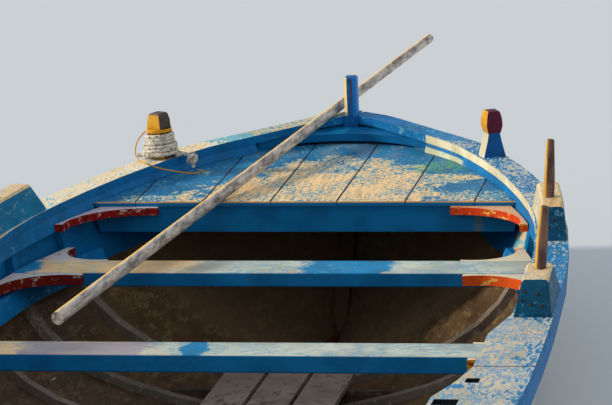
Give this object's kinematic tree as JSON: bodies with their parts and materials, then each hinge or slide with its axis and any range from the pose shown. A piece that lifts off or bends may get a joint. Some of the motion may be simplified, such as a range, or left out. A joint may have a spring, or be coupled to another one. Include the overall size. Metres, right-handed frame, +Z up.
{
  "type": "rowing boat",
  "caption": "Double-ended wooden rowing boat, afloat: carvel planks on frames, foredeck, thwarts on knees, thole pins, mooring posts and a pole.",
  "frame": {"origin": "centreline amidships at the waterline", "axes": "+Y to the bow, +X to starboard, +Z up"},
  "size_m": [1.932, 6.5567, 0.9966],
  "materials": {
    "bottom_paint": "matt oxide-red bottom paint",
    "topside_white": "weathered white paint",
    "sheer_yellow": "yellow paint with a white stripe",
    "rail_blue": "weathered blue paint",
    "stem_blue": "bright blue paint, worn at the edges",
    "board_cream": "cream paint speckled with wear",
    "cap_blue": "blue paint, flaked",
    "deck_paint": "blue paint flaked to bare wood",
    "beam_blue": "deep blue paint",
    "thwart_paint": "cream, tan and blue layers of worn paint",
    "knee_red": "red primer under worn pale paint",
    "knee_orange": "orange primer under worn pale paint",
    "inside_wood": "weathered grey-brown timber",
    "inside_blue": "worn blue paint",
    "sole_wood": "worn pinkish-grey boards",
    "block_paint": "cream and blue worn paint",
    "pin_wood": "oiled hardwood",
    "post_paint": "ochre paint over dark wood",
    "pole_wood": "bare weathered pole",
    "rope": "laid rope, greyed",
    "cord": "thin orange cord"
  },
  "bodies": {
    "root": {"keel": "bottom_paint", "bottom_strakes_starboard": "bottom_paint", "bottom_strakes_port": "bottom_paint", "topside_strakes_starboard": "topside_white", "topside_strakes_port": "topside_white", "second_strake_starboard": "topside_white", "second_strake_port": "topside_white", "sheer_strake_starboard": "sheer_yellow", "sheer_strake_port": "sheer_yellow", "rubbing_strake_starboard": "rail_blue", "rubbing_strake_port": "rail_blue", "stem_post": "stem_blue", "stern_post": "stem_blue", "covering_board_fore_starboard": "board_cream", "covering_board_fore_port": "board_cream", "covering_board_aft_starboard": "board_cream", "covering_board_aft_port": "board_cream", "bow_cap_starboard": "cap_blue", "bow_cap_port": "cap_blue", "stern_cap_starboard": "cap_blue", "stern_cap_port": "cap_blue", "foredeck": "deck_paint", "aft_deck": "deck_paint", "breasthook": "beam_blue", "foredeck_beam": "beam_blue", "foredeck_inner_beam": "beam_blue", "aft_deck_beam": "beam_blue", "thwart_fore": "thwart_paint", "thwart_middle": "thwart_paint", "thwart_aft": "thwart_paint", "stern_bench": "thwart_paint", "deck_knee_port": "knee_red", "deck_knee_starboard": "knee_orange", "thwart_fore_knees": "knee_orange", "thwart_middle_knees": "knee_orange", "thwart_aft_knees": "knee_orange", "floor_timbers": "inside_wood", "frames_starboard": "inside_wood", "frames_port": "inside_wood", "inwale_starboard": "inside_blue", "inwale_port": "inside_blue", "riser_starboard": "inside_blue", "riser_port": "inside_blue", "bottom_boards": "sole_wood", "thole_block_fore_starboard": "block_paint", "thole_block_fore_port": "block_paint", "thole_block_middle_starboard": "block_paint", "thole_block_middle_port": "block_paint", "thole_pin_fore_starboard": "pin_wood", "thole_pin_middle_starboard": "pin_wood", "thole_pin_middle_port": "pin_wood", "mooring_post_starboard": "post_paint", "mooring_post_port": "post_paint", "pole": "pole_wood", "rope_winding": "rope", "rope_end": "rope", "cord_lashing": "cord", "thin_cord": "cord", "cord_knot": "cord"}
  },
  "joints": []
}
